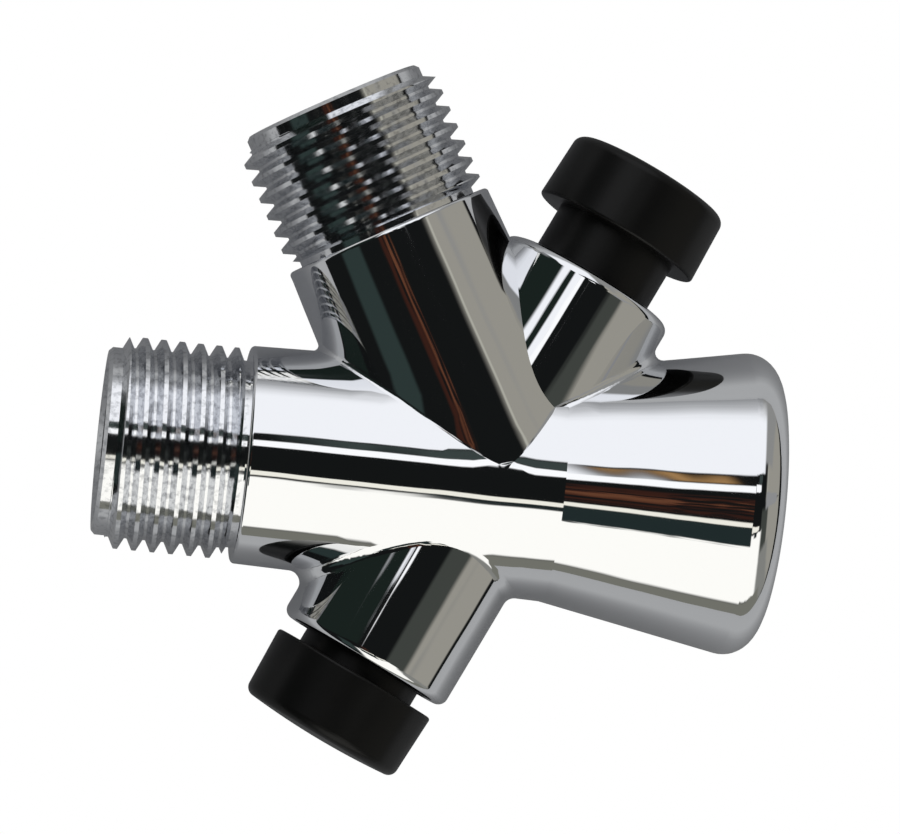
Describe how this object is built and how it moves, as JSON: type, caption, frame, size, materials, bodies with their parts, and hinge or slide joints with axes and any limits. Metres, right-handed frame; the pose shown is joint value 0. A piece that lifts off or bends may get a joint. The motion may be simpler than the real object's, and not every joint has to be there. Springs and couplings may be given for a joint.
{
  "type": "push-button three way diverter valve",
  "caption": "Chrome three way diverter valve: flared female inlet, two male threaded outlets and a cross barrel whose push-button shuttle sends water to one outlet or the other.",
  "frame": {"origin": "centre of the inlet's mouth, on its end face", "axes": "+X out of the inlet's mouth, along the main tube; the in-line outlet points along -X, and the hose outlet and the cross barrel's upper end lean towards +Y; +Z is square to the plane that holds all three tube axes"},
  "size_m": [0.066, 0.0697, 0.03],
  "materials": {
    "chrome": "polished chrome plate on a brass casting",
    "black_plastic": "satin moulded plastic",
    "black_rubber": "moulded rubber",
    "brass": "turned brass",
    "stainless": "turned and stamped stainless steel"
  },
  "bodies": {
    "housing": {"valve_body": "chrome", "inlet_screen": "stainless", "inlet_washer": "black_rubber", "upper_seat_sleeve": "brass", "upper_sleeve_inner_oring": "black_rubber", "upper_sleeve_outer_oring": "black_rubber", "upper_retaining_ring": "stainless", "lower_seat_sleeve": "brass", "lower_sleeve_inner_oring": "black_rubber", "lower_sleeve_outer_oring": "black_rubber", "lower_retaining_ring": "stainless"},
    "shuttle": {"shuttle_rod": "stainless", "valve_disc": "black_rubber", "upper_backing_washer": "stainless", "lower_backing_washer": "stainless", "disc_clip": "stainless", "upper_button": "black_plastic", "upper_button_insert": "brass", "upper_plunger_oring": "black_rubber", "lower_button": "black_plastic", "lower_button_insert": "brass", "lower_plunger_oring": "black_rubber"}
  },
  "joints": [
    {"name": "shuttle_slide", "type": "slide", "parent": "housing", "child": "shuttle", "axis": [-0.4289, -0.9033, 0], "range_m": [0, 0.0035]}
  ]
}
